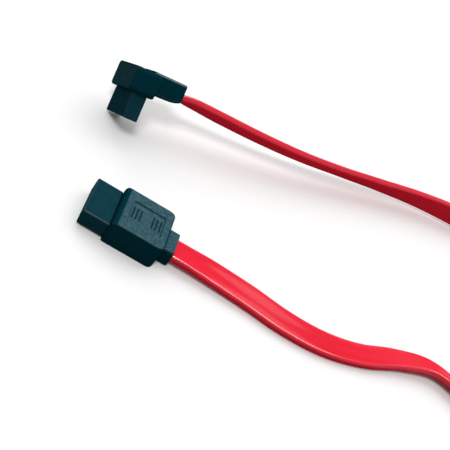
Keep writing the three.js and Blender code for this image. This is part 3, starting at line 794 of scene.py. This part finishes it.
def make_grip_material():
    """Dark teal plastic: smooth and nearly black where the mould was polished, paler and mottled where it was
    grained.
    The piece's mask mixes the two, and with them paints light on the grips' tops and the block's end faces,
    and shade on the sides, the brow, the panel's walls and the relief corner."""
    material, shader = new_material("grained_slate_grip_with_painted_light", 0.6, specular=0.0)
    links = material.node_tree.links
    mask = add_mottle(material, object_place(material), 1200.0, 3300.0, 0.45)
    grain_and_painted_light = read_mask(material, "grain_and_painted_light")
    tone = material.node_tree.nodes.new("ShaderNodeMix")
    tone.data_type = "RGBA"
    links.new(grain_and_painted_light, tone.inputs["Factor"])
    links.new(add_ramp(material, mask, SMOOTH_AND_SHADED_TONES), tone.inputs["A"])
    links.new(add_ramp(material, mask, GRAINED_AND_LIT_TONES), tone.inputs["B"])
    links.new(tone.outputs["Result"], shader.inputs["Base Color"])
    links.new(add_ramp(material, mask, GRIP_ROUGHNESS), shader.inputs["Roughness"])
    add_bump(material, shader, multiply(material, mask, grain_and_painted_light), 0.7, 0.08 * MM)
    add_gloss(material, shader, amount=0.9, roughness=0.28)
    return material


grip_material = make_grip_material()

# %% Nose plastic
NOSE_TONES = [(0.3, (0.0056, 0.040, 0.056)), (0.7, (0.0094, 0.054, 0.075))]
NOSE_ROUGHNESS = [(0.3, 0.46), (0.7, 0.38)]


def make_nose_material():
    """The same teal black, polished, with only a faint cloud in its colour and gloss."""
    material, shader = new_material("polished_slate_nose", 0.42, specular=0.0)
    links = material.node_tree.links
    mask = add_mottle(material, object_place(material), 250.0, 2400.0, 0.3)
    links.new(add_ramp(material, mask, NOSE_TONES), shader.inputs["Base Color"])
    links.new(add_ramp(material, mask, NOSE_ROUGHNESS), shader.inputs["Roughness"])
    add_bump(material, shader, mask, 0.25, 0.015 * MM)
    add_gloss(material, shader, amount=0.5, roughness=0.3)
    return material


nose_material = make_nose_material()

# %% [markdown]
# ## The red plastic
# The jacket is soft, glossy red plastic. Extrusion leaves faint streaks along it, so its finish follows the
# strip's own length and girth, which were stored as a UV map. Streaks come from noise that is stretched
# along the length.

# %% Jacket material
JACKET_TONES = [(0.3, (0.86, 0.017, 0.040)), (0.7, (0.96, 0.026, 0.056))]
JACKET_ROUGHNESS = [(0.3, 0.31), (0.7, 0.24)]
STREAK_SCALE = (0.06, 1.0, 1.0)


def make_jacket_material():
    """Saturated red, with streaks in colour and gloss that run along the strip."""
    material, shader = new_material("red_jacket", 0.27, specular=0.0)
    nodes, links = material.node_tree.nodes, material.node_tree.links
    source = nodes.new("ShaderNodeUVMap")
    source.uv_map = "strip"
    stretch = nodes.new("ShaderNodeMapping")
    stretch.inputs["Scale"].default_value = STREAK_SCALE
    links.new(source.outputs["UV"], stretch.inputs["Vector"])
    mask = add_mottle(material, stretch.outputs["Vector"], 500.0, 2500.0, 0.35)
    links.new(add_ramp(material, mask, JACKET_TONES), shader.inputs["Base Color"])
    links.new(add_ramp(material, mask, JACKET_ROUGHNESS), shader.inputs["Roughness"])
    add_bump(material, shader, mask, 0.2, 0.02 * MM)
    add_gloss(material, shader, amount=1.0, roughness=0.15)
    return material


jacket_material = make_jacket_material()

# %% [markdown]
# ## Metal and wire finishes
# Contacts are thin gold-plated strips with rolled streaks, cores are coloured off-white, and drain wires
# are tinned. They sit inside the plugs, and only the contacts can be seen, in the slots.

# %% Small part materials
def make_small_material(name, roughness, metallic, dark, light, scale):
    """A finish for a small part: two near colours and a soft variation in gloss."""
    material, shader = new_material(name, roughness, metallic)
    mask = add_mottle(material, object_place(material), scale, 4 * scale)
    links = material.node_tree.links
    links.new(add_ramp(material, mask, [(0.3, dark), (0.7, light)]), shader.inputs["Base Color"])
    links.new(add_ramp(material, mask, [(0.3, roughness + 0.08), (0.7, roughness - 0.06)]),
              shader.inputs["Roughness"])
    add_bump(material, shader, mask, 0.15, 0.01 * MM)
    return material


contact_material = make_small_material(
    "gold_contact", 0.25, 1.0, (0.62, 0.42, 0.14), (0.80, 0.57, 0.24), 1500.0)
core_material = make_small_material(
    "wire_insulation", 0.45, 0.0, (0.76, 0.74, 0.68), (0.86, 0.84, 0.79), 700.0)
drain_material = make_small_material(
    "tinned_wire", 0.3, 1.0, (0.52, 0.53, 0.54), (0.70, 0.71, 0.72), 2500.0)

# %% Give every piece its finish
FINISH_OF = {"housing": nose_material, "overmould": grip_material, "contact": contact_material,
             "core": core_material, "drain": drain_material, "cable": jacket_material}


def dress(piece, material):
    """Replaces all the materials of a piece with one."""
    piece.data.materials.clear()
    piece.data.materials.append(material)


for node_name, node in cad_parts.items():
    word = next(key for key in FINISH_OF if key in node_name)
    dress(node, FINISH_OF[word])
NEW_PIECES = {jacket: jacket_material, straight_grip: grip_material, angled_block: grip_material,
              angled_neck: grip_material, straight_nose: nose_material, angled_nose: nose_material}
for piece, material in NEW_PIECES.items():
    dress(piece, material)
print("dressed", len(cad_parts), "nodes and", len(NEW_PIECES), "new pieces")

# %% [markdown]
# ## The table and the light
# A product photograph on white: the background is pure white, tops are bright, the near sides are dark, and
# each shadow hugs its part like a cut-out. No one set of lamps gives all of that, so each lamp says what it
# reaches, which Cycles calls light linking: three suns reach everything except the table, and two reach
# only the table. The floor is a plain white surface whose colour is brighter for the camera and in
# reflections than for the light that it throws back.

# %% Floor
TABLE_HALF, TABLE_LEVEL = 3.0, -0.02 * MM
TONE_THROWN_BACK, TONE_SEEN = (0.3, 0.3, 0.3, 1), (1.0, 1.0, 1.0, 1)


def make_floor():
    """A large square just under the cable, with its own material."""
    corners = [(x * TABLE_HALF, y * TABLE_HALF, TABLE_LEVEL) for x, y in ((-1, -1), (1, -1), (1, 1), (-1, 1))]
    mesh = bpy.data.meshes.new("table_top")
    mesh.from_pydata(corners, [], [(0, 1, 2, 3)])
    floor = bpy.data.objects.new("table_top", mesh)
    bpy.context.scene.collection.objects.link(floor)
    material, shader = new_material("white_table", 0.9, specular=0.0)
    nodes, links = material.node_tree.nodes, material.node_tree.links
    path = nodes.new("ShaderNodeLightPath")
    seen = path.outputs["Is Camera Ray"]
    for kind in ("Is Glossy Ray", "Is Transmission Ray"):
        either = nodes.new("ShaderNodeMath")
        either.operation = "MAXIMUM"
        links.new(seen, either.inputs[0])
        links.new(path.outputs[kind], either.inputs[1])
        seen = either.outputs["Value"]
    tone = nodes.new("ShaderNodeMix")
    tone.data_type = "RGBA"
    tone.inputs["A"].default_value = TONE_THROWN_BACK
    tone.inputs["B"].default_value = TONE_SEEN
    links.new(seen, tone.inputs["Factor"])
    links.new(tone.outputs["Result"], shader.inputs["Base Color"])
    mesh.materials.append(material)
    return floor


floor = make_floor()

# %% [markdown]
# ## The lamps
# The object's key is a large soft sun from high behind. A small one near it draws the bright line along the
# cable's near edge, and a faint low one reaches the far sides. On the table, one sun from in front throws
# each shadow back, where it stays close under its part in this view, and a very soft one from behind
# darkens the near side a little. Area lamps could do the same, but a sun lights the whole cable alike.

# %% Lights
SKY_STRENGTH = 0.4
OBJECT_LIGHTS = [("key", (0.22, 0.4, 1.0), 1.35, 26), ("edge_light", (0.144, 0.3, 0.943), 0.7, 6),
                 ("rim_light", (0.3, 1.0, 0.45), 0.06, 20)]
TABLE_LIGHTS = [("table_front_light", (-0.24, -0.70, 1.0), 1.3, 16),
                ("table_back_light", (0.05, 1.0, 0.75), 1.8, 90)]


def make_world(strength):
    """An even white sky."""
    world = bpy.data.worlds.new("studio")
    world.use_nodes = True
    background = world.node_tree.nodes["Background"]
    background.inputs["Color"].default_value = (1, 1, 1, 1)
    background.inputs["Strength"].default_value = strength
    bpy.context.scene.world = world


def make_sun(name, toward, strength, spread):
    """A sun whose light comes from the direction toward, with a disc of spread degrees for soft shadows."""
    data = bpy.data.lights.new(name, "SUN")
    data.energy = strength
    data.angle = math.radians(spread)
    sun = bpy.data.objects.new(name, data)
    sun.rotation_euler = Vector(toward).to_track_quat("Z", "Y").to_euler()
    bpy.context.scene.collection.objects.link(sun)
    return sun


def link_to_floor(sun, state):
    """Makes a light reach only the floor, or everything except the floor."""
    reached = bpy.data.collections.new(sun.name + "_reaches")
    reached.objects.link(floor)
    reached.collection_objects[0].light_linking.link_state = state
    sun.light_linking.receiver_collection = reached


make_world(SKY_STRENGTH)
for lights, state in ((OBJECT_LIGHTS, "EXCLUDE"), (TABLE_LIGHTS, "INCLUDE")):
    for light in lights:
        link_to_floor(make_sun(*light), state)
print("lamps:", len(OBJECT_LIGHTS), "for the object and", len(TABLE_LIGHTS), "for the table")
bpy.context.scene.view_settings.view_transform = "Standard"
